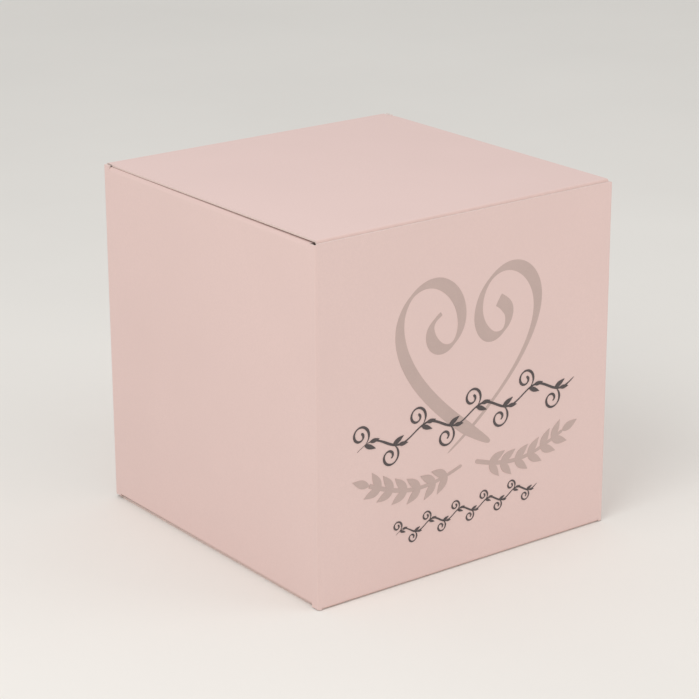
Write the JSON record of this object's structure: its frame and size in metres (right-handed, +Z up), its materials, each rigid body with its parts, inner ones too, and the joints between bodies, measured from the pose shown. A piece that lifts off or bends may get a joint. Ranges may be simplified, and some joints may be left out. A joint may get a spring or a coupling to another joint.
{
  "type": "wedding favour box",
  "caption": "Small square gift box folded from one sheet of blush card, with a tuck lid, a tuck base, dust flaps and a glued corner seam.",
  "frame": {"origin": "centre of the underside, where the box rests", "axes": "+Z up, the decorated front wall faces -Y, the lid hinges on the back wall at +Y"},
  "size_m": [0.0508, 0.0508, 0.0508],
  "materials": {
    "printed_card": "matt blush print on smooth coated card, white inside",
    "folded_card": "the same printed card where it is creased and folded",
    "flap_card": "printed card flaps that fold inside the box, uncoated white on the back",
    "glue": "thin dried carton glue",
    "ornament_ink": null
  },
  "bodies": {
    "shell": {"front_panel": "printed_card", "left_panel": "printed_card", "back_panel": "printed_card", "right_panel": "printed_card", "glue_flap": "flap_card", "glue_line": "glue", "fold_front_left": "folded_card", "fold_front_right": "folded_card", "fold_back_left": "folded_card", "fold_glue_flap": "folded_card", "lid_fold": "folded_card", "base_fold": "folded_card", "top_left_dust_fold": "folded_card", "top_right_dust_fold": "folded_card", "bottom_left_dust_fold": "folded_card", "bottom_right_dust_fold": "folded_card"},
    "lid": {"lid_panel": "printed_card", "lid_tuck_fold": "folded_card"},
    "lid_tuck": {"lid_tuck_flap": "flap_card"},
    "base": {"base_panel": "printed_card", "base_tuck_fold": "folded_card"},
    "base_tuck": {"base_tuck_flap": "flap_card"},
    "top_left_dust": {"top_left_dust_flap": "flap_card"},
    "top_right_dust": {"top_right_dust_flap": "flap_card"},
    "bottom_left_dust": {"bottom_left_dust_flap": "flap_card"},
    "bottom_right_dust": {"bottom_right_dust_flap": "flap_card"}
  },
  "joints": [
    {"name": "lid_hinge", "type": "hinge", "parent": "shell", "child": "lid", "pos_m": [0, 0.0254, 0.0508], "axis": [-1, 0, 0], "range_deg": [0, 170]},
    {"name": "lid_tuck_hinge", "type": "hinge", "parent": "lid", "child": "lid_tuck", "pos_m": [0, -0.02512, 0.0508], "axis": [-1, 0, 0], "range_deg": [0, 51]},
    {"name": "top_left_dust_hinge", "type": "hinge", "parent": "shell", "child": "top_left_dust", "pos_m": [-0.0254, 0, 0.05036], "axis": [0, -1, -0.0039], "range_deg": [0, 102]},
    {"name": "top_right_dust_hinge", "type": "hinge", "parent": "shell", "child": "top_right_dust", "pos_m": [0.0254, 0, 0.05036], "axis": [0, 1, 0.0039], "range_deg": [0, 102]},
    {"name": "base_hinge", "type": "hinge", "parent": "shell", "child": "base", "pos_m": [0, -0.0254, 0], "axis": [-1, 0, 0], "range_deg": [0, 170]},
    {"name": "base_tuck_hinge", "type": "hinge", "parent": "base", "child": "base_tuck", "pos_m": [0, 0.02512, 0], "axis": [-1, 0, 0], "range_deg": [0, 51]},
    {"name": "bottom_left_dust_hinge", "type": "hinge", "parent": "shell", "child": "bottom_left_dust", "pos_m": [-0.0254, 0, 0.00044], "axis": [0, 1, 0.0039], "range_deg": [0, 102]},
    {"name": "bottom_right_dust_hinge", "type": "hinge", "parent": "shell", "child": "bottom_right_dust", "pos_m": [0.0254, 0, 0.00044], "axis": [0, -1, -0.0039], "range_deg": [0, 102]}
  ],
  "couplings": [
    {"joint": "lid_tuck_hinge", "follows": "lid_hinge", "ratio": 0.3},
    {"joint": "top_left_dust_hinge", "follows": "lid_hinge", "ratio": 0.6},
    {"joint": "top_right_dust_hinge", "follows": "lid_hinge", "ratio": 0.6},
    {"joint": "base_tuck_hinge", "follows": "base_hinge", "ratio": 0.3},
    {"joint": "bottom_left_dust_hinge", "follows": "base_hinge", "ratio": 0.6},
    {"joint": "bottom_right_dust_hinge", "follows": "base_hinge", "ratio": 0.6}
  ]
}
